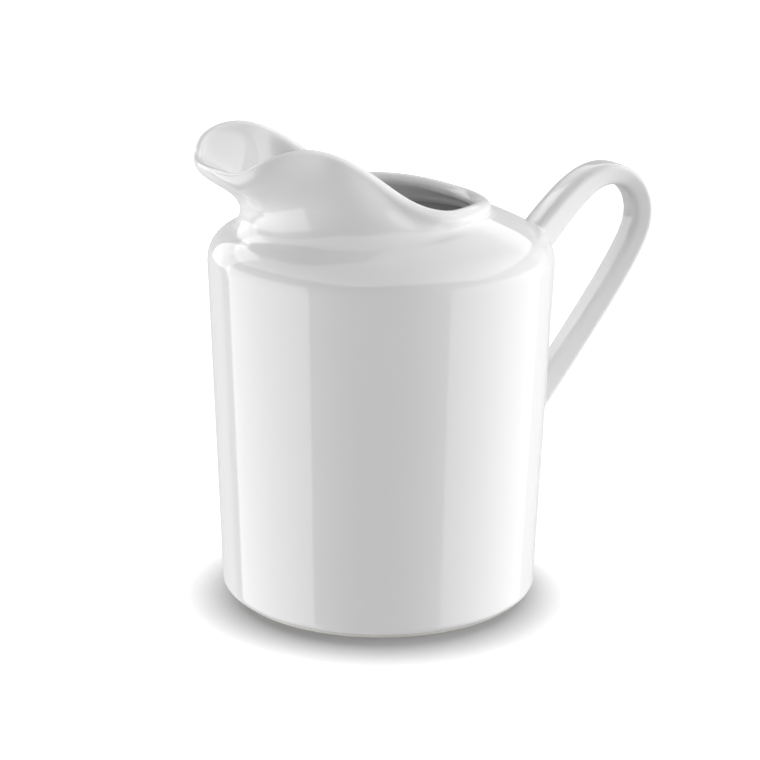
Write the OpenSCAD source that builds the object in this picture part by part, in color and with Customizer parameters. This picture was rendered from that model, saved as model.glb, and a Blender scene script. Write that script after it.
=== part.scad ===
// Porcelain cream jug: a cast cup with a rounded shoulder, an oblique collar swept up
// into a flared pouring lip, and a strap handle luted on with slip.
// Millimetres, +Z up. The origin is the middle of the foot, the spout points along -X
// and the handle along +X.

/* [Body] */
// Outside radius of the wall where it meets the foot
body_foot_r = 33.7; // [30:0.1:35]
// Outside radius of the wall at the top, under the shoulder
body_top_r = 36.2; // [34:0.1:38]
// Height at which the straight wall ends
wall_top_z = 72.1; // [60:0.5:73]
// Radius of the rounding between the wall and the shoulder
shoulder_round = 7; // [4:0.5:9]
// Slope of the shoulder above the horizontal at its outer edge, in degrees
shoulder_slope = 28; // [24:0.5:31]
// Radius of the shoulder's gentle dome
dome_r = 75; // [60:1:200]
// Thickness of the cast wall
wall = 2.6; // [2:0.1:3.4]
// Radius of the rounding at the bottom edge
foot_round = 2; // [1:0.1:3]

/* [Foot] */
// Height of the unglazed ring under the body
foot_h = 0.8; // [0.5:0.1:1.5]
// Inside radius of the unglazed ring
foot_in_r = 28.8; // [26:0.1:30]
// Outside radius of the unglazed ring
foot_out_r = 31.8; // [31:0.1:32.4]
// Depth of the hollow under the floor, above the table
foot_hollow = 2.2; // [1.6:0.1:3]
// Thickness of the floor
floor_t = 3; // [2.4:0.1:4]

/* [Neck and spout] */
// Radius of the middle of the neck's wall where it leaves the shoulder
neck_r = 24.4; // [23:0.1:26]
// How far the foot of the neck stands towards the spout from the jug's axis
neck_shift = 3.3; // [2:0.1:4]
// How far the middle of the rim stands towards the spout from the jug's axis
rim_shift = 4.7; // [3:0.1:6]
// Radius of the middle of the rim on the handle side
rim_r = 25.1; // [24:0.1:27]
// Thickness of the collar where it leaves the shoulder
neck_wall = 2.3; // [1.8:0.1:2.8]
// Thickness of the rolled lip at the handle and the sides
lip_wall = 3.6; // [2.2:0.1:4.2]
// Thickness of the lip at the spout
spout_wall = 1.6; // [1.2:0.1:2.4]
// How far the rim draws in on each side, between the neck and the spout
waist_in = 3.8; // [0:0.1:5]
// How much further than the neck the spout's lip reaches
spout_reach = 8.3; // [5:0.1:11]
// Height of the rim at the handle
rim_low_z = 83.3; // [83:0.1:86]
// How far the rim climbs from the handle to the sides of the neck
rim_tilt = 1.1; // [0:0.1:2]
// How far the rim climbs from there to the crest beside the spout
rim_rise = 15.2; // [8:0.1:18]
// How far the rim drops again from the crest to the tip of the lip
lip_drop = 6.1; // [2:0.1:8]

/* [Handle] */
// Width of the strap's outer face
strap_w = 8.6; // [6:0.1:10]
// Width of the strap's inner face
strap_in_w = 5.6; // [4:0.1:8]
// Thickness of the strap along its lower leg
strap_t = 4.4; // [3:0.1:6]
// Thickness of the strap where it springs from the shoulder
strap_root_t = 6.8; // [4:0.1:8]
// Height of the middle of the strap at the top of the loop
loop_top_z = 86.8; // [80:0.1:92]
// Distance of the top of the loop from the jug's axis
loop_top_x = 53; // [48:0.1:58]
// Distance of the outermost bend of the loop from the jug's axis
loop_out_x = 61.3; // [56:0.1:66]

/* [Slip joints] */
// Width of the slip fillet around the neck, on either side
seam = 2.1; // [1:0.1:3]
// How far the middle of the fillet's edge stands towards the spout
seam_shift = 4.4; // [3:0.1:5]
// Thickness of the slip between the strap and the body
slip_t = 0.6; // [0.3:0.1:1]
// How far the slip stands out around the strap's ends
slip_edge = 0.7; // [0.3:0.1:1.2]

/* [Hidden] */
$fn = 96;

glaze = "white";
bisque = "linen";
slip_white = "whitesmoke";

// Angle of the wall's lean outwards
wall_lean = atan((body_top_r - body_foot_r) / wall_top_z);
// Middle of the rounding between the wall and the shoulder
round_r = body_top_r - shoulder_round * cos(wall_lean);
round_z = wall_top_z + shoulder_round * sin(wall_lean);
// Middle of the shoulder's dome, which runs on smoothly from the rounding
dome_x = round_r + (shoulder_round - dome_r) * sin(shoulder_slope);
dome_z = round_z + (shoulder_round - dome_r) * cos(shoulder_slope);
// The dome is carried in to this radius, inside the mouth hole
dome_end_r = 18;
dome_end = acos((dome_end_r - dome_x) / dome_r);
// The collar is let into this hole in the shoulder
mouth_r = neck_r + neck_wall / 2;
floor_z = foot_hollow + floor_t;
floor_round = 4;

// Angles from the handle, in degrees, between which the rim changes
waist_at = 101;
waist_half = 36;
spout_from = 124;
spout_to = 155;
climb_from = 59.5;
climb_to = 154;
drop_from = 132;
drop_to = 166;

// The collar's wall is an S curve. Pull of its foot and of its top, as shares of its rise:
// at the handle, and on the outside and the inside of the spout
neck_pull = [0.3, 0.3];
spout_out_pull = [0.67, 0.3];
spout_in_pull = [0.7, 0.09];
pull_from = 90;
pull_to = 150;
// How much lower than the shoulder the inside of the collar begins its curve
foot_lead = 1.2;

// Underside: lean of the hollow's wall, and narrowing of the ring towards the table
hollow_lean = 1.2;
ring_lean = 0.3;

// Points of the strap's middle line in the XZ plane: its roots inside the body's wall, the
// top of the loop and its outermost bend, and the leads of the curve on both sides of them
upper_root = [32.3, 69];
loop_top = [loop_top_x, loop_top_z];
loop_out = [loop_out_x, 77.8];
lower_root = [32.2, 31.4];
upper_lead = [8, 8.9];
top_lead_in = [-6.4, 0];
top_lead_out = [4.8, 0];
out_lead_in = [0, 5];
out_lead_down = [0, -5.2];
lower_lead = [-3.6, -11.6];
// How round the strap's corners are, outside and inside: 1 is an ellipse and 0 a box
outer_corner = 0.55;
inner_corner = 0.38;
// Ends of the middle line, and the stretches of it that the slip pads take
strap_end = 3;
upper_pad_end = 0.6;
lower_pad_start = 2.6;

neck_steps = 96;
wall_steps = 12;
lip_steps = 6;
seam_steps = 5;
seam_wall_steps = 3;
strap_stations = 54;
strap_sides = 24;
pad_steps = 6;

// Points on an arc around [x, y], from angle a0 to a1
function arc(x, y, r, a0, a1, n) =
    [for (i = [0:n]) let (a = a0 + (a1 - a0) * i / n) [x + r * cos(a), y + r * sin(a)]];

// Smooth step from 0 to 1 with level ends
function ease(t) = let (u = min(1, max(0, t))) u * u * u * (u * (6 * u - 15) + 10);
// Smooth step over the stretch of angles from a to b
function ease_over(angle, a, b) = ease((angle - a) / (b - a));
function unit(v) = v / norm(v);
function mix(a, b, t) = a * (1 - t) + b * t;

// Height of the shoulder at distance r from the jug's axis
function dome_at(r) = dome_z + sqrt(dome_r * dome_r - pow(r - dome_x, 2));
// Points on a cubic curve through control points a, b, c and d
function cubic(a, b, c, d, t) =
    a * pow(1 - t, 3) + 3 * b * t * pow(1 - t, 2) + 3 * c * t * t * (1 - t) + d * pow(t, 3);

// ---- Body ----

// Outline of the cup from its bottom edge up to the shoulder, with the dome carried in to
// the mouth; grow moves it outwards and a negative grow makes the inside
function shoulder_line(grow) = concat(
    arc(round_r, round_z, shoulder_round + grow, -wall_lean, 90 - shoulder_slope, 12),
    arc(dome_x, dome_z, dome_r + grow, 90 - shoulder_slope, dome_end, 8));

module body_solid(grow) {
    edge_r = body_foot_r - foot_round;
    rotate_extrude()
        polygon(concat(
            [[0, foot_h]],
            arc(edge_r, foot_h + foot_round, foot_round + grow, -90, -wall_lean, 8),
            shoulder_line(grow),
            [[0, dome_at(dome_end_r)]]));
}

module body_hollow() {
    edge_r = body_foot_r - wall - floor_round;
    rotate_extrude()
        polygon(concat(
            [[0, floor_z]],
            arc(edge_r, floor_z + floor_round, floor_round, -90, -wall_lean, 8),
            shoulder_line(-wall),
            [[0, dome_at(dome_end_r)]]));
}

module foot_hollow_shape() {
    rotate_extrude()
        polygon([[0, -1], [foot_in_r, -1], [foot_in_r, foot_h],
            [foot_in_r - hollow_lean, foot_hollow], [0, foot_hollow]]);
}

module body() {
    color(glaze)
        difference() {
            body_solid(0);
            body_hollow();
            foot_hollow_shape();
            translate([-neck_shift, 0, round_z - wall])
                cylinder(r = mouth_r, h = dome_r);
        }
}

module foot_ring() {
    color(bisque)
        difference() {
            cylinder(r1 = foot_out_r - ring_lean, r2 = foot_out_r, h = foot_h);
            translate([0, 0, -1])
                cylinder(r = foot_in_r, h = foot_h + 2);
        }
}

// ---- Neck and spout ----

// Every angle b runs from 0 at the handle to 180 at the tip of the spout, on both sides
function fold(angle) = angle > 180 ? 360 - angle : angle;
function waist(b) = abs(b - waist_at) < waist_half ? pow(cos((b - waist_at) / waist_half * 90), 2) : 0;
function rim_dist(b) =
    rim_r - waist_in * waist(b) + spout_reach * ease_over(b, spout_from, spout_to);
function rim_z(b) = rim_low_z + rim_tilt * ease_over(b, 0, climb_from)
    + rim_rise * ease_over(b, climb_from, climb_to) - lip_drop * ease_over(b, drop_from, drop_to);
// A point at this angle and distance r around an upright axis that stands towards the spout
function around(shift, angle, r, z) = [r * cos(angle) - shift, r * sin(angle), z];
function rim_point(angle) = around(rim_shift, angle, rim_dist(fold(angle)), rim_z(fold(angle)));

// Direction along the rim, and level across it pointing out of the jug
function rim_along(angle) = unit(rim_point(angle + 0.5) - rim_point(angle - 0.5));
function rim_out(angle) = let (d = rim_along(angle)) unit([d[1], -d[0], 0]);

// The point of the shoulder straight above or below p
function on_shoulder(p) = [p[0], p[1], dome_at(norm([p[0], p[1]]))];
function neck_z(angle) = on_shoulder(around(neck_shift, angle, mouth_r, 0))[2];

// How much of the spout's shape the collar has at this angle, from 0 to 1
function spoutness(angle) = ease_over(fold(angle), pull_from, pull_to);
function half_wall(angle) = mix(lip_wall, spout_wall, spoutness(angle)) / 2;

// Foot of the collar's wall, outside (side 1) or inside (side -1), where its curve begins:
// level with the shoulder outside, and lower inside
function wall_foot(angle, side) = around(neck_shift, angle, neck_r + side * neck_wall / 2,
    side > 0 ? neck_z(angle) : neck_z(angle) - foot_lead);

// Face of the collar's wall, outside or inside, at s from foot to rim. It leaves the
// shoulder upright and reaches the rim upright, in an S under the spout.
function wall_face(angle, s, side) =
    let (foot = wall_foot(angle, side))
    let (top = rim_point(angle) + rim_out(angle) * side * half_wall(angle))
    let (spout_pull = side > 0 ? spout_out_pull : spout_in_pull)
    let (pull = mix(neck_pull, spout_pull, spoutness(angle)) * (top[2] - foot[2]))
    cubic(foot, foot + [0, 0, pull[0]], top - [0, 0, pull[1]], top, s);

// Bottom edge of the collar, level with the inside of the shoulder
function wall_bottom(angle, side) =
    around(neck_shift, angle, neck_r + side * neck_wall / 2, neck_z(angle) - wall);

// The lip is a half round over the top of the wall
function lip_face(angle, turn) =
    let (out = rim_out(angle), up = cross(out, rim_along(angle)))
    rim_point(angle) + half_wall(angle) * (out * cos(turn) + up * sin(turn));

// Rings of points joined to a tube that bites its own tail; slant turns the triangles' edges
// the other way, so that two tubes that share a face share its triangles
module ring_skin(rings, slant = 0) {
    n = len(rings[0]);
    m = len(rings);
    points = [for (ring = rings) each ring];
    faces = [for (i = [0:m - 1]) for (j = [0:n - 1])
        let (i2 = (i + 1) % m, j2 = (j + 1) % n)
        let (a = i * n + j, b = i2 * n + j, c = i2 * n + j2, d = i * n + j2)
        each slant == 0 ? [[a, c, b], [a, d, c]] : [[a, d, b], [b, d, c]]];
    polyhedron(points, faces);
}

// Angles around the neck at which its sections stand
function turns() = [for (k = [0:neck_steps - 1]) k * 360 / neck_steps];

module neck_and_spout() {
    rings = [for (angle = turns()) concat(
        [wall_bottom(angle, -1), wall_bottom(angle, 1)],
        [for (i = [0:wall_steps]) wall_face(angle, i / wall_steps, 1)],
        [for (i = [1:lip_steps - 1]) lip_face(angle, i * 180 / lip_steps)],
        [for (i = [wall_steps:-1:0]) wall_face(angle, i / wall_steps, -1)])];
    color(glaze)
        ring_skin(rings);
}

// The slip fillet fills the corner between the neck's wall and the shoulder with a hollow face
module neck_slip_seam() {
    rings = [for (angle = turns())
        let (corner = wall_face(angle, 0, 1), top = wall_face(angle, seam_wall_steps / wall_steps, 1))
        let (edge = on_shoulder(around(seam_shift, angle, mouth_r + seam, 0)))
        concat(
            [for (i = [seam_wall_steps:-1:0]) wall_face(angle, i / wall_steps, 1)],
            [for (i = [1:seam_steps]) on_shoulder(mix(corner, edge, i / seam_steps))],
            [for (i = [seam_steps - 1:-1:1]) let (t = i / seam_steps)
                top * pow(1 - t, 2) + corner * 2 * t * (1 - t) + edge * t * t])];
    color(slip_white)
        ring_skin(rings, 1);
}

// ---- Handle ----

// Middle line of the strap in the XZ plane: up from the shoulder to the top of the loop,
// round the bend, and down the lower leg to the wall. Each leg is one cubic curve.
function strap_line(t) =
    t < 1 ? cubic(upper_root, upper_root + upper_lead, loop_top + top_lead_in, loop_top, t)
    : t < 2 ? cubic(loop_top, loop_top + top_lead_out, loop_out + out_lead_in, loop_out, t - 1)
    : cubic(loop_out, loop_out + out_lead_down, loop_out + lower_lead, lower_root, t - 2);

// Section of the strap: a box with rounded corners, broad outside and narrower inside,
// grown all round by grow
function strap_section(t, grow) =
    let (mid = strap_line(t), along = unit(strap_line(t + 0.01) - strap_line(t - 0.01)))
    let (out = [-along[1], along[0]], half_t = mix(strap_root_t, strap_t, ease(t / 1.5)) / 2)
    [for (k = [0:strap_sides - 1])
        let (a = 360 * k / strap_sides, power = mix(inner_corner, outer_corner, (sin(a) + 1) / 2))
        let (u = corner(cos(a), power), v = corner(sin(a), power))
        let (half_w = mix(strap_in_w, strap_w, (v + 1) / 2) / 2)
        let (p = mid + out * v * (half_t + grow))
        [p[0], u * (half_w + grow), p[1]]];
function corner(c, power) = sign(c) * pow(abs(c), power);

// The strap from t0 to t1 along its middle line, closed at both ends
module strap(t0, t1, steps, grow) {
    rings = [for (i = [0:steps]) strap_section(t0 + (t1 - t0) * i / steps, grow)];
    n = strap_sides;
    points = [for (ring = rings) each ring];
    sides = [for (i = [0:steps - 1]) for (j = [0:n - 1])
        let (j2 = (j + 1) % n)
        each [[i * n + j, (i + 1) * n + j, (i + 1) * n + j2],
            [i * n + j, (i + 1) * n + j2, i * n + j2]]];
    ends = [[for (j = [0:n - 1]) j], [for (j = [n - 1:-1:0]) steps * n + j]];
    polyhedron(points, concat(sides, ends));
}

module handle() {
    color(glaze)
        difference() {
            strap(0, strap_end, strap_stations, 0);
            body_solid(slip_t);
        }
}

// Skin of slip on the body where a stretch of the strap meets it
module slip_pad(t0, t1) {
    color(slip_white)
        difference() {
            intersection() {
                strap(t0, t1, pad_steps, slip_edge);
                body_solid(slip_t);
            }
            body_solid(0);
        }
}

module handle_upper_slip() {
    slip_pad(0, upper_pad_end);
}

module handle_lower_slip() {
    slip_pad(lower_pad_start, strap_end);
}

body();
foot_ring();
neck_and_spout();
neck_slip_seam();
handle();
handle_upper_slip();
handle_lower_slip();
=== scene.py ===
import bpy
import numpy as np
from math import atan, cos, pi, radians, sin
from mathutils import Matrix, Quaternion, Vector


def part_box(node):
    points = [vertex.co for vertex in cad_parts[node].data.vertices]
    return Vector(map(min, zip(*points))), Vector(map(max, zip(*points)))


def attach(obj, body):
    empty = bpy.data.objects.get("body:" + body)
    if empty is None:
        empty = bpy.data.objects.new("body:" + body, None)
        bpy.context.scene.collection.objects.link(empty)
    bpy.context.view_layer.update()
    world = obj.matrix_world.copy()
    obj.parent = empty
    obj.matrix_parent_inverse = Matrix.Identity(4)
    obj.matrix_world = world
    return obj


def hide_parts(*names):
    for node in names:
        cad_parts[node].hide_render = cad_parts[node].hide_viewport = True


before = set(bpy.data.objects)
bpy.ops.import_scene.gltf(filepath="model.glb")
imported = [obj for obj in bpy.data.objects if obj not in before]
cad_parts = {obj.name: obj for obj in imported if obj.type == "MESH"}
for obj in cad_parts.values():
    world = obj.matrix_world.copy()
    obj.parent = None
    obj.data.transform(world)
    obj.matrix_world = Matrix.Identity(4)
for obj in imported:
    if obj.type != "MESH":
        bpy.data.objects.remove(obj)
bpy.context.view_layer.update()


# ---- Body ----
# The cup of the jug: hard porcelain, cast in a plaster mould, with a wall that widens a
# little upwards, a rounded shoulder and a low dome that the neck is let into. Glazed all
# over, except on the ring that it stands on.

MM = 0.001
AROUND = 288

body_low, body_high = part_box("body")
body_top_r = body_high.x / MM
wall_spread = 2.5
body_foot_r = body_top_r - wall_spread
foot_top_z = body_low.z / MM
wall_start_z, wall_top_z = 3.4, 72.1
shoulder_round = 7.0
shoulder_slope = radians(28)
dome_r = 75.0
wall = 2.6
foot_round = 2.0
floor_z = 5.2
floor_round = 4.0
hollow_z = 2.2
foot_in_r = 28.8
foot_out_r = 31.8
neck_shift = 3.3
neck_r = 24.4
neck_wall = 2.3
mouth_r = neck_r + neck_wall / 2
seam = 2.1
seam_shift = 4.4
seam_bed = 0.02
dome_steps, seam_steps = 20, 6

lean = atan((body_top_r - body_foot_r) / wall_top_z)
round_r = body_top_r - shoulder_round * cos(lean)
round_z = wall_top_z + shoulder_round * sin(lean)
dome_x = round_r + (shoulder_round - dome_r) * sin(shoulder_slope)
dome_z = round_z + (shoulder_round - dome_r) * cos(shoulder_slope)
turn = np.linspace(0, 2 * np.pi, AROUND, endpoint=False)


def mix(a, b, t):
    """The value a share t of the way from a to b."""
    return a + (b - a) * t


def arc(x, z, r, start, end, steps):
    """Points (radius, height) on a circle of radius r around (x, z), from start to end."""
    angle = np.linspace(start, end, steps)
    return np.stack([x + r * np.cos(angle), z + r * np.sin(angle)], -1)


def line(start, end, steps):
    """Points (radius, height) at even steps on the straight line from start to end."""
    return mix(np.array(start, float), np.array(end, float), np.linspace(0, 1, steps)[:, None])


def thrown(profile):
    """Rows of a turned shape: each (radius, height) of the profile carried round the axis."""
    r, z = np.asarray(profile, float)[:, :, None].transpose(1, 0, 2)
    return np.stack([r * np.cos(turn), r * np.sin(turn), z + 0 * turn], -1)


def circle(r, shift):
    """Level circle of radius r whose middle stands shift towards the spout, at height 0."""
    return np.stack([r * np.cos(turn) - shift, r * np.sin(turn), 0 * turn], -1)


def on_dome(points, depth=0.0):
    """The points moved straight up or down onto the shoulder's dome, or depth inside it: the
    height is that of a sphere-like arc of radius dome_r over the distance from the axis."""
    distance = np.hypot(points[..., 0], points[..., 1])
    out = points.copy()
    out[..., 2] = dome_z + np.sqrt((dome_r - depth) ** 2 - (distance - dome_x) ** 2)
    return out


def between(first, last, steps):
    """Rows at even steps from the first row to the last, without the first."""
    share = np.linspace(0, 1, steps + 1)[1:, None, None]
    return mix(first[None], last[None], share)


def clay(name, rows, crisp=(), tail=False):
    """One closed skin through rows of points in millimetres. Each row runs round the piece
    and is joined to the next. tail joins the last row to the first, and otherwise a fan to
    the middle of its row closes each end. The crisp rows keep a crease."""
    count, around = rows.shape[:2]
    row, col = np.meshgrid(np.arange(count if tail else count - 1), np.arange(around),
                           indexing="ij")
    below, above = row * around, (row + 1) % count * around
    after = (col + 1) % around
    faces = np.stack([below + col, below + after, above + after, above + col], -1).reshape(-1, 4)
    points = rows.reshape(-1, 3)
    corner = points[faces]
    inside_out = np.einsum("ij,ij->", corner[:, 0], np.cross(corner[:, 1], corner[:, 2])
                           + np.cross(corner[:, 2], corner[:, 3])) < 0
    faces = faces.tolist()
    if not tail:
        step = np.arange(around)
        ahead = (step + 1) % around
        first, last = len(points), len(points) + 1
        points = np.concatenate([points, rows[[0, -1]].mean(1)])
        base = (count - 1) * around
        faces += np.stack([ahead, step, 0 * step + first], -1).tolist()
        faces += np.stack([base + step, base + ahead, 0 * step + last], -1).tolist()
    mesh = bpy.data.meshes.new(name)
    mesh.from_pydata((points * MM).tolist(), [], faces)
    if inside_out:
        mesh.flip_normals()
    mesh.shade_smooth()
    ends = np.zeros(len(mesh.edges) * 2, int)
    mesh.edges.foreach_get("vertices", ends)
    ends = ends.reshape(-1, 2) // around
    sharp = (ends[:, 0] == ends[:, 1]) & np.isin(ends[:, 0], crisp)
    mesh.edges.foreach_set("use_edge_sharp", sharp)
    piece = bpy.data.objects.new(name, mesh)
    bpy.context.scene.collection.objects.link(piece)
    return piece


underside = np.concatenate([
    line((0.6, hollow_z), (foot_in_r - 2.4, hollow_z), 24),
    line((foot_in_r - 1.9, hollow_z - 0.04), (foot_in_r - 1.5, hollow_z - 0.2), 3),
    line((foot_in_r - 0.9, hollow_z - 0.65), (foot_in_r, foot_top_z), 5),
])
outside = np.concatenate([
    line((foot_in_r + 0.6, foot_top_z), (body_foot_r - foot_round - 0.3, foot_top_z), 4),
    arc(body_foot_r - foot_round, foot_top_z + foot_round, foot_round, radians(-90), -lean, 18),
    line((body_foot_r + 0.02, wall_start_z), (body_top_r - 0.01, wall_top_z - 0.4), 64),
    arc(round_r, round_z, shoulder_round, -lean, radians(90) - shoulder_slope, 30),
])
dome_start = thrown(outside[-1:])[0]
seam_edge = on_dome(circle(mouth_r + seam, seam_shift))
mouth_edge = on_dome(circle(mouth_r, neck_shift))
mouth_inside = on_dome(circle(mouth_r, neck_shift), wall)
inside_start = arc(round_r, round_z, shoulder_round - wall, radians(90) - shoulder_slope,
                   -lean, 20)
inside_wall = np.concatenate([
    inside_start[1:],
    line((body_top_r - wall - 0.03, wall_top_z - 1), (body_foot_r - wall + 0.2, floor_z + 5), 48),
    arc(body_foot_r - wall - floor_round, floor_z + floor_round, floor_round, -lean,
        radians(-90), 20),
    line((body_foot_r - wall - floor_round - 0.8, floor_z), (0.6, floor_z), 28),
])
body_rows = np.concatenate([
    thrown(underside),
    thrown(outside),
    on_dome(between(dome_start, seam_edge, dome_steps)),
    on_dome(between(seam_edge, mouth_edge, seam_steps), seam_bed),
    between(mouth_edge, mouth_inside, 3),
    on_dome(between(mouth_inside, thrown(inside_start[:1])[0], 14), wall),
    thrown(inside_wall),
])
mouth_row = len(underside) + len(outside) + dome_steps + seam_steps
body = clay("body_porcelain", body_rows,
            crisp=[len(underside) - 1, mouth_row - 1, mouth_row + 2])


def noise(nodes, place, size, detail):
    """A noise texture of features about size millimetres wide, over Object coordinates."""
    texture = nodes.new("ShaderNodeTexNoise")
    texture.inputs["Scale"].default_value = 1 / (size * MM)
    texture.inputs["Detail"].default_value = detail
    nodes.id_data.links.new(place, texture.inputs["Vector"])
    return texture.outputs["Fac"]


def glaze_variation():
    """Group: how a fired glaze differs over a piece. Tint is where it lies thicker, Gloss is
    its uneven smoothness, and Height has the soft waves of the coat and a few pinholes."""
    group = bpy.data.node_groups.new("fired_glaze", "ShaderNodeTree")
    for name in ("Tint", "Gloss", "Height"):
        group.interface.new_socket(name, in_out="OUTPUT", socket_type="NodeSocketFloat")
    nodes, links = group.nodes, group.links
    place = nodes.new("ShaderNodeTexCoord").outputs["Object"]
    out = nodes.new("NodeGroupOutput")
    links.new(noise(nodes, place, 24, 2), out.inputs["Tint"])
    links.new(noise(nodes, place, 9, 3), out.inputs["Gloss"])
    specks = nodes.new("ShaderNodeTexVoronoi")
    specks.inputs["Scale"].default_value = 1 / (6.5 * MM)
    links.new(place, specks.inputs["Vector"])
    pinhole = nodes.new("ShaderNodeMapRange")
    pinhole.inputs["From Min"].default_value = 0.012
    pinhole.inputs["From Max"].default_value = 0.03
    links.new(specks.outputs["Distance"], pinhole.inputs["Value"])
    waves = nodes.new("ShaderNodeMath")
    waves.operation = "MULTIPLY_ADD"
    waves.inputs[1].default_value = 0.75
    links.new(noise(nodes, place, 13, 1), waves.inputs[0])
    links.new(pinhole.outputs["Result"], waves.inputs[2])
    links.new(waves.outputs["Value"], out.inputs["Height"])
    return group


fired_glaze = glaze_variation()


def glazed(name, thin, thick, gloss_low, gloss_high, wave):
    """Glossy transparent glaze over white clay: the colour runs from thin to thick, the
    roughness from gloss_low to gloss_high, and the coat's waves are wave millimetres high."""
    material = bpy.data.materials.new(name)
    material.use_nodes = True
    nodes, links = material.node_tree.nodes, material.node_tree.links
    shader = nodes["Principled BSDF"]
    coat = nodes.new("ShaderNodeGroup")
    coat.node_tree = fired_glaze
    colour = nodes.new("ShaderNodeMix")
    colour.data_type = "RGBA"
    colour.inputs["A"].default_value = (*thin, 1)
    colour.inputs["B"].default_value = (*thick, 1)
    links.new(coat.outputs["Tint"], colour.inputs["Factor"])
    links.new(colour.outputs["Result"], shader.inputs["Base Color"])
    gloss = nodes.new("ShaderNodeMapRange")
    gloss.inputs["To Min"].default_value = gloss_low
    gloss.inputs["To Max"].default_value = gloss_high
    links.new(coat.outputs["Gloss"], gloss.inputs["Value"])
    links.new(gloss.outputs["Result"], shader.inputs["Roughness"])
    bump = nodes.new("ShaderNodeBump")
    bump.inputs["Distance"].default_value = wave * MM
    links.new(coat.outputs["Height"], bump.inputs["Height"])
    links.new(bump.outputs["Normal"], shader.inputs["Normal"])
    shader.inputs["IOR"].default_value = 1.55
    return material


porcelain = glazed("glazed_porcelain", thin=(0.792, 0.787, 0.789), thick=(0.771, 0.765, 0.769),
                   gloss_low=0.045, gloss_high=0.07, wave=0.02)
body.data.materials.append(porcelain)
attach(body, "root")
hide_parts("body")


# ---- Foot ring ----
# The bare ring under the cup: the same porcelain, wiped free of glaze so that it didn't
# stick to the kiln shelf, and polished after the firing. Its edges are slightly rounded.

ring_edge = 0.25
ring_fit = 0.02
ring_taper = 0.3
ring_in = foot_in_r + ring_fit
ring_low_out = foot_out_r - ring_taper
ring_profile = np.concatenate([
    line((ring_in, foot_top_z), (ring_in, ring_edge), 4),
    arc(ring_in + ring_edge, ring_edge, ring_edge, radians(180), radians(270), 8)[1:],
    line((ring_in + 0.5, 0), (ring_low_out - 0.5, 0), 4),
    arc(ring_low_out - ring_edge, ring_edge, ring_edge, radians(-90), radians(-10), 8),
    line((ring_low_out + 0.1, ring_edge + 0.15), (foot_out_r - 0.05, foot_top_z), 4),
    line((foot_out_r - 0.8, foot_top_z + 0.01), (ring_in + 0.6, foot_top_z + 0.01), 3),
])
foot_ring = clay("foot_ring_bisque", thrown(ring_profile), tail=True,
                 crisp=[0, len(ring_profile) - 4])


def bare_clay():
    """Polished unglazed porcelain: matt and faintly warm, with a fine grain and the grey
    rubbing of the surfaces that it has stood on."""
    material = bpy.data.materials.new("bare_porcelain")
    material.use_nodes = True
    nodes, links = material.node_tree.nodes, material.node_tree.links
    shader = nodes["Principled BSDF"]
    place = nodes.new("ShaderNodeTexCoord").outputs["Object"]
    colour = nodes.new("ShaderNodeMix")
    colour.data_type = "RGBA"
    colour.inputs["A"].default_value = (0.68, 0.66, 0.62, 1)
    colour.inputs["B"].default_value = (0.5, 0.485, 0.455, 1)
    links.new(noise(nodes, place, 2.5, 4), colour.inputs["Factor"])
    links.new(colour.outputs["Result"], shader.inputs["Base Color"])
    rough = nodes.new("ShaderNodeMapRange")
    rough.inputs["To Min"].default_value = 0.55
    rough.inputs["To Max"].default_value = 0.8
    links.new(noise(nodes, place, 1.2, 2), rough.inputs["Value"])
    links.new(rough.outputs["Result"], shader.inputs["Roughness"])
    bump = nodes.new("ShaderNodeBump")
    bump.inputs["Distance"].default_value = 0.01 * MM
    links.new(noise(nodes, place, 0.3, 3), bump.inputs["Height"])
    links.new(bump.outputs["Normal"], shader.inputs["Normal"])
    return material


foot_ring.data.materials.append(bare_clay())
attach(foot_ring, "root")
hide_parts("foot_ring")


# ---- Neck and spout ----
# The collar of the jug, cast on its own and let into the hole in the shoulder. It is low
# at the handle, draws in at the sides and sweeps up into a wide lip that turns out level.

rim_shift = 4.7
rim_r = 25.1
lip_wall, spout_wall = 3.6, 1.6
waist_in, waist_at, waist_half = 3.8, 101, 36
spout_reach, spout_from, spout_to = 8.3, 124, 155
rim_low_z = 83.3
rim_tilt = 1.1
rim_rise, climb_from, climb_to = 15.2, 59.5, 154
lip_drop, drop_from, drop_to = 6.1, 132, 166
neck_pull = np.array([0.3, 0.3])
spout_out_pull = np.array([0.67, 0.3])
spout_in_pull = np.array([0.7, 0.09])
pull_from, pull_to = 90, 150
foot_lead = 1.2
inner_pull = 0.8
WALL_ROWS = 64
up = np.array([0.0, 0.0, 1.0])


def ease(value, start, end):
    """Smooth step of the value from start to end: 6u^5 - 15u^4 + 10u^3, level at both ends."""
    u = np.clip((value - start) / (end - start), 0, 1)
    return u ** 3 * (u * (6 * u - 15) + 10)


def unit(v):
    """Each vector divided by its length."""
    return v / np.linalg.norm(v, axis=-1, keepdims=True)


def cubic(a, b, c, d, t):
    """Points at t on the cubic curve through control points a, b, c and d."""
    t = np.asarray(t)[..., None]
    return a * (1 - t) ** 3 + 3 * b * t * (1 - t) ** 2 + 3 * c * t ** 2 * (1 - t) + d * t ** 3


def fold(angle):
    """Degrees from the handle, 0, to the tip of the spout, 180, the same on both sides."""
    return np.degrees(np.abs(np.arctan2(np.sin(angle), np.cos(angle))))


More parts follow.
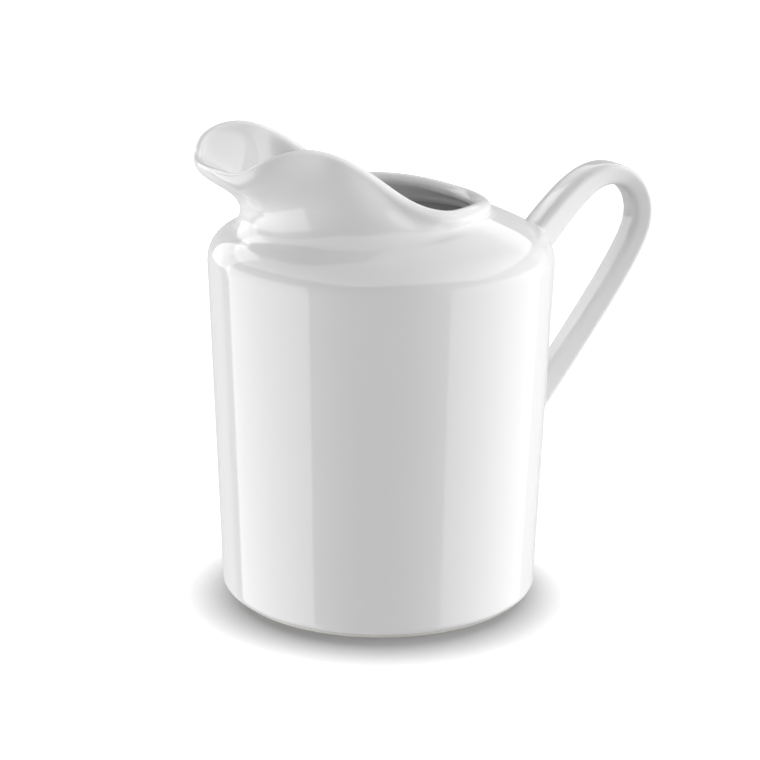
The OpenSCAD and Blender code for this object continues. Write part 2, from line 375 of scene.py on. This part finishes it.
def rim_point(angle):
    """Middle of the lip: its distance from the rim's axis draws in by a squared cosine at the
    waist and steps out at the spout, and its height climbs to a crest and drops to the tip."""
    b = fold(angle)
    waist = np.cos(np.radians(np.clip((b - waist_at) / waist_half, -1, 1) * 90)) ** 2
    distance = rim_r - waist_in * waist + spout_reach * ease(b, spout_from, spout_to)
    height = (rim_low_z + rim_tilt * ease(b, 0, climb_from)
              + rim_rise * ease(b, climb_from, climb_to) - lip_drop * ease(b, drop_from, drop_to))
    return np.stack([distance * np.cos(angle) - rim_shift, distance * np.sin(angle), height], -1)


half_degree = radians(0.5)
rim = rim_point(turn)
rim_along = unit(rim_point(turn + half_degree) - rim_point(turn - half_degree))
rim_out = unit(np.stack([rim_along[:, 1], -rim_along[:, 0], 0 * turn], -1))
rim_up = np.cross(rim_out, rim_along)
spoutness = ease(fold(turn), pull_from, pull_to)[:, None]
half_wall = mix(lip_wall, spout_wall, spoutness) / 2


def wall_face(side, s):
    """Outside (side 1) or inside (-1) of the collar at s from foot to lip: a cubic that
    leaves the shoulder upright and reaches the lip upright, in an S under the spout."""
    foot = circle(neck_r + side * neck_wall / 2, neck_shift)
    foot[:, 2] = mouth_edge[:, 2] - (foot_lead if side < 0 else 0)
    top = rim + rim_out * side * half_wall
    pull = mix(neck_pull, spout_out_pull if side > 0 else spout_in_pull, spoutness)
    pull = pull * (top - foot)[:, 2:]
    return cubic(foot, foot + up * pull[:, :1], top - up * pull[:, 1:], top, s[:, None])


def lip(angle):
    """Half round over the top of the wall, at angle from its outside over to its inside."""
    angle = angle[:, None, None]
    return rim + half_wall * (rim_out * np.cos(angle) + rim_up * np.sin(angle))


wall_outside = wall_face(1, np.linspace(0, 1, WALL_ROWS))
lip_over = lip(np.linspace(0, np.pi, 20)[1:-1])
wall_inside = wall_face(-1, np.linspace(1, 0, WALL_ROWS))
inner_foot = wall_inside[-1]
inner_reach = unit(mouth_inside - inner_foot - up * (mouth_inside - inner_foot)[:, 2:])
inner_round = cubic(inner_foot, inner_foot - up * inner_pull, mouth_inside - inner_reach,
                    mouth_inside, np.linspace(0, 1, 12)[1:, None])
collar_rows = np.concatenate([between(mouth_inside, mouth_edge, 4)[:-1], wall_outside, lip_over,
                              wall_inside, inner_round])
collar = clay("neck_and_spout_porcelain", collar_rows, tail=True, crisp=[len(collar_rows) - 1])
collar.data.materials.append(porcelain)
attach(collar, "root")
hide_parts("neck_and_spout")


# ---- Slip seam around the neck ----
# Liquid porcelain brushed into the corner between the neck and the shoulder, and wiped to
# a hollow fillet with a wet sponge. The glaze runs over it without a break.

seam_top_at = 0.25
seam_depth = 0.03
grip = 0.62
seam_rise = wall_face(1, np.array([0, 0.5, 0.98, 1]) * seam_top_at)
seam_top = seam_rise[-1]
down_wall = unit(seam_rise[-2] - seam_top)
level_reach = (mouth_edge - seam_edge) * [1, 1, 0]
along_dome = unit(on_dome(seam_edge + 0.02 * level_reach) - seam_edge)
high_arm = np.linalg.norm(seam_top - mouth_edge, axis=-1, keepdims=True) * grip
low_arm = np.linalg.norm(seam_edge - mouth_edge, axis=-1, keepdims=True) * grip
fillet = cubic(seam_top, seam_top + down_wall * high_arm, seam_edge + along_dome * low_arm,
               seam_edge, np.linspace(0, 1, 24)[:, None])
seam_floor = on_dome(between(seam_edge, mouth_edge, seam_steps), seam_depth)
seam_rows = np.concatenate([fillet, seam_floor, seam_rise[1:2]])
neck_seam = clay("neck_seam_slip", seam_rows, tail=True, crisp=[0, len(fillet) - 1])
slip = glazed("glazed_slip", thin=(0.792, 0.787, 0.788), thick=(0.771, 0.765, 0.768),
              gloss_low=0.045, gloss_high=0.075, wave=0.02)
neck_seam.data.materials.append(slip)
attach(neck_seam, "root")
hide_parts("neck_slip_seam")


# ---- Handle ----
# A strap of porcelain cast on its own and bent in one loop: thick where it springs from
# the shoulder, thinner down its lower leg, broad outside and narrower inside.

upper_root = np.array([32.3, 69.0])
upper_lead = np.array([8.0, 8.9])
loop_top = np.array([53.0, 86.8])
top_lead_in = np.array([-6.4, 0.0])
top_lead_out = np.array([4.8, 0.0])
loop_out = np.array([61.3, 77.8])
out_lead_in = np.array([0.0, 5.0])
out_lead_down = np.array([0.0, -5.2])
lower_lead = np.array([-3.6, -11.6])
lower_root = np.array([32.2, 31.4])
strap_w, strap_in_w = 8.6, 5.6
strap_t, strap_root_t = 4.4, 6.8
outer_corner, inner_corner = 0.55, 0.38
STRAP_ROWS, STRAP_SIDES = 260, 96
strap_side = np.linspace(0, 2 * np.pi, STRAP_SIDES, endpoint=False)


def strap_line(t):
    """Middle line of the strap, as (distance, height): three cubics, from the shoulder to the
    top of the loop at t 1, to its outermost bend at t 2, and down to the wall at t 3."""
    rise = cubic(upper_root, upper_root + upper_lead, loop_top + top_lead_in, loop_top, t)
    bend = cubic(loop_top, loop_top + top_lead_out, loop_out + out_lead_in, loop_out, t - 1)
    fall = cubic(loop_out, loop_out + out_lead_down, loop_out + lower_lead, lower_root, t - 2)
    t = np.asarray(t)[..., None]
    return np.where(t < 1, rise, np.where(t < 2, bend, fall))


def strap_skin(t, grow=0.0):
    """Points of the strap's skin at t on its middle line and all round its section, which is
    a box with rounded corners, tighter inside, of width mixed from inside to outside."""
    along = unit(strap_line(t + 0.004) - strap_line(t - 0.004))
    share = (np.sin(strap_side) + 1) / 2
    power = mix(inner_corner, outer_corner, share)
    u = np.sign(np.cos(strap_side)) * np.abs(np.cos(strap_side)) ** power
    v = np.sign(np.sin(strap_side)) * np.abs(np.sin(strap_side)) ** power
    half_w = mix(strap_in_w, strap_w, (v + 1) / 2) / 2 + grow
    half_t = mix(strap_root_t, strap_t, ease(t, 0, 1.5)) / 2 + grow
    out = v * half_t
    middle = strap_line(t)
    return np.stack(np.broadcast_arrays(middle[..., 0] - along[..., 1] * out, u * half_w,
                                        middle[..., 1] + along[..., 0] * out), -1)


def body_gap(points):
    """Distance from the outside of the body: from the leaning wall, from the rounding's
    circle or from the dome's, whichever the point stands over."""
    r, z = np.hypot(points[..., 0], points[..., 1]), points[..., 2]
    tilt = np.arctan2(z - round_z, r - round_r)
    to_wall = (r - body_top_r) * cos(lean) - (z - wall_top_z) * sin(lean)
    to_round = np.hypot(r - round_r, z - round_z) - shoulder_round
    to_dome = np.hypot(r - dome_x, z - dome_z) - dome_r
    return np.where(tilt < -lean, to_wall,
                    np.where(tilt < radians(90) - shoulder_slope, to_round, to_dome))


def strap_at_gap(inner_t, outer_t, gap, grow=0.0):
    """The t of each side at which the strap's skin stands gap off the body, found by halving
    the stretch from inner_t, inside the body, to outer_t, outside it."""
    low, high = np.full(STRAP_SIDES, float(inner_t)), np.full(STRAP_SIDES, float(outer_t))
    for _ in range(40):
        middle = (low + high) / 2
        outside_body = body_gap(strap_skin(middle, grow)) > gap
        low, high = np.where(outside_body, low, middle), np.where(outside_body, middle, high)
    return (low + high) / 2


clay_gap = 0.3
strap_start = strap_at_gap(0, 0.8, clay_gap)
strap_end = strap_at_gap(3, 2.2, clay_gap)
strap_rows = strap_skin(mix(strap_start, strap_end, np.linspace(0, 1, STRAP_ROWS)[:, None]))
handle = clay("handle_porcelain", strap_rows, crisp=[0, STRAP_ROWS - 1])
handle.data.materials.append(porcelain)
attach(handle, "root")
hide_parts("handle")


# ---- Slip at the ends of the handle ----
# The strap is stuck to the body with slip at both ends. What squeezes out is wiped to a
# small fillet all round, and the glaze covers it.

edge_depth, pad_depth = 0.2, 0.3
cover_gap, cover_inset = 0.2, 0.5


def body_normal(points):
    """Direction straight off the body: how fast the gap grows along each axis."""
    step = 0.01 * np.eye(3)
    return unit(np.stack([body_gap(points + s) - body_gap(points - s) for s in step], -1))


def slip_fillet(name, node, inner_t, outer_t, height, width):
    """Pad between the strap and the body with a hollow edge all round: a cubic from the strap's
    skin, height off the body, to the body's, width outside the strap, tangent to both."""
    top_t = strap_at_gap(inner_t, outer_t, height)
    top = strap_skin(top_t)
    inward = np.sign(inner_t - outer_t)
    down = unit(strap_skin(top_t + 0.01 * inward) - top)
    edge = strap_skin(strap_at_gap(inner_t, outer_t, 0, width), width)
    contact = strap_skin(strap_at_gap(inner_t, outer_t, 0))
    normal = body_normal(edge)
    back = contact - edge
    back = unit(back - normal * (back * normal).sum(-1, keepdims=True))
    arm = 0.45 * np.linalg.norm(top - edge, axis=-1, keepdims=True)
    fillet = cubic(top, top + down * arm, edge + back * arm, edge, np.linspace(0, 1, 14)[:, None])
    cover = strap_skin(strap_at_gap(inner_t, outer_t, cover_gap, -cover_inset), -cover_inset)
    under = contact - body_normal(contact) * pad_depth
    middle_top, middle_under = cover.mean(0), under.mean(0)
    rows = np.concatenate([
        mix(middle_top, cover, np.array([0.1, 0.6, 1.0])[:, None, None]),
        fillet,
        [edge - normal * edge_depth, under],
        mix(middle_under, under, np.array([0.6, 0.1])[:, None, None]),
    ])
    piece = clay(name, rows, crisp=[3, 2 + len(fillet)])
    piece.data.materials.append(slip)
    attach(piece, "root")
    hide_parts(node)


slip_fillet("handle_upper_fillet", "handle_upper_slip", 0, 0.8, 1.5, 1.2)
slip_fillet("handle_lower_fillet", "handle_lower_slip", 3, 2.2, 1.3, 1.0)


# ---- Table, light and camera ----
# A white table that glows by its own emission, with no glow within 30 mm of a point by the jug's
# axis and full glow from 45.5 mm out, so the dark ring round the foot is partly painted shadow
# and partly the jug's cast shadow. Also a pale room, soft boxes on both sides with weaker fill
# all round, and windows and screens that only show in the glaze.
# The table catches the jug's shadow but gives it neither light nor reflection.

floor_mesh = bpy.data.meshes.new("table")
span = 4.0
# Middle and radii of the painted shadow: the table's glow is nil within the first radius and full
# beyond the second.
painted_shadow_middle = (-0.002, -0.0046, 0)
painted_shadow_fade_from, painted_shadow_fade_to = 0.03, 0.0455
floor_mesh.from_pydata([(-span, -span, 0), (span, -span, 0), (span, span, 0), (-span, span, 0)],
                       [], [(0, 1, 2, 3)])
floor = bpy.data.objects.new("table", floor_mesh)
floor.visible_diffuse = floor.visible_glossy = floor.visible_shadow = False
bpy.context.scene.collection.objects.link(floor)
table_white_painted_shadow = bpy.data.materials.new("table_white_painted_shadow")
table_white_painted_shadow.use_nodes = True
table_nodes, table_links = table_white_painted_shadow.node_tree.nodes, table_white_painted_shadow.node_tree.links
table_shader = table_nodes["Principled BSDF"]
table_shader.inputs["Base Color"].default_value = (0.5, 0.5, 0.5, 1)
table_shader.inputs["Roughness"].default_value = 0.9
table_shader.inputs["Specular IOR Level"].default_value = 0.0
table_shader.inputs["Emission Color"].default_value = (1, 1, 1, 1)
# Painted shadow: the emission rises from 0 to 0.95 with distance from the jug, darkening the
# table round the foot.
table_place = table_nodes.new("ShaderNodeTexCoord")
table_reach = table_nodes.new("ShaderNodeVectorMath")
table_reach.operation = "DISTANCE"
table_reach.inputs[1].default_value = painted_shadow_middle
painted_shadow_glow = table_nodes.new("ShaderNodeMapRange")
painted_shadow_glow.inputs["From Min"].default_value = painted_shadow_fade_from
painted_shadow_glow.inputs["From Max"].default_value = painted_shadow_fade_to
painted_shadow_glow.inputs["To Max"].default_value = 0.95
table_links.new(table_place.outputs["Object"], table_reach.inputs[0])
table_links.new(table_reach.outputs["Value"], painted_shadow_glow.inputs["Value"])
table_links.new(painted_shadow_glow.outputs["Result"], table_shader.inputs["Emission Strength"])
floor.data.materials.append(table_white_painted_shadow)

world = bpy.data.worlds.new("pale_room")
bpy.context.scene.world = world
world.use_nodes = True
world.node_tree.nodes["Background"].inputs["Color"].default_value = (1, 1, 1, 1)
world.node_tree.nodes["Background"].inputs["Strength"].default_value = 0.25
bpy.context.scene.view_settings.view_transform = "Standard"

camera_azimuth, camera_elevation, camera_roll = radians(24), radians(16), radians(0.53)
camera_distance = 0.45
aim = Vector((0, 0, 0.0457))


def seen_from(azimuth, elevation):
    """Unit vector from the aim towards a place at this angle round from the front."""
    return Vector((-sin(azimuth) * cos(elevation), -cos(azimuth) * cos(elevation),
                   sin(elevation)))


def soft_box(name, azimuth, elevation, distance, size, radiance, rays="both", upright=False):
    """Area light of that size in metres and that radiance, at degrees left of the camera and
    above the aim. It lights the clay ("diffuse"), shows in the glaze ("glossy") or does both,
    and it faces the jug, or stands upright."""
    data = bpy.data.lights.new(name, "AREA")
    data.shape = "RECTANGLE"
    data.size, data.size_y = size
    data.energy = radiance * pi * size[0] * size[1]
    box = bpy.data.objects.new(name, data)
    bearing = camera_azimuth + radians(azimuth)
    box.location = aim + seen_from(bearing, radians(elevation)) * distance
    facing = seen_from(bearing, 0 if upright else radians(elevation))
    box.rotation_mode = "QUATERNION"
    box.rotation_quaternion = facing.to_track_quat("Z", "Y")
    box.visible_camera = False
    box.visible_diffuse = rays != "glossy"
    box.visible_glossy = rays != "diffuse"
    bpy.context.scene.collection.objects.link(box)


soft_box("left_soft_box", 77, -16, 1.0, (0.8, 1.4), 3.0, "diffuse")
soft_box("right_soft_box", -85, 5, 1.0, (0.7, 1.2), 3.7, "diffuse")
soft_box("left_window", 82.5, -32.4, 1.19, (1.43, 1.59), 1.65, "glossy", upright=True)
soft_box("right_window", -87, -32.4, 1.19, (1.74, 1.59), 1.15, "glossy", upright=True)
soft_box("overhead_screen", 0, 90, 0.65, (2.4, 2.4), 1.5, "glossy")
soft_box("overhead_box", 180, 80, 1.0, (1.2, 1.2), 0.45, "diffuse")
soft_box("back_screen", 180, -5, 1.2, (3.0, 2.0), 0.45, "glossy", upright=True)
soft_box("front_fill", 0, 12, 1.0, (1.2, 0.5), 0.45, "diffuse")
soft_box("right_fill", -48, 8, 1.0, (0.6, 0.8), 1.3, "diffuse")
soft_box("back_left_fill", 130, 20, 1.0, (0.6, 0.8), 1.6)
soft_box("back_right_fill", -125, 8, 1.0, (0.6, 1.0), 1.5, "diffuse")

camera_data = bpy.data.cameras.new("camera")
camera_data.sensor_width = 36.0
camera_data.lens = 100.4
camera = bpy.data.objects.new("camera", camera_data)
camera_back = seen_from(camera_azimuth, camera_elevation)
camera.location = aim + camera_back * camera_distance
camera.rotation_mode = "QUATERNION"
camera_level = camera_back.to_track_quat("Z", "Y")
camera.rotation_quaternion = camera_level @ Quaternion((0, 0, 1), camera_roll)
bpy.context.scene.collection.objects.link(camera)
bpy.context.scene.camera = camera
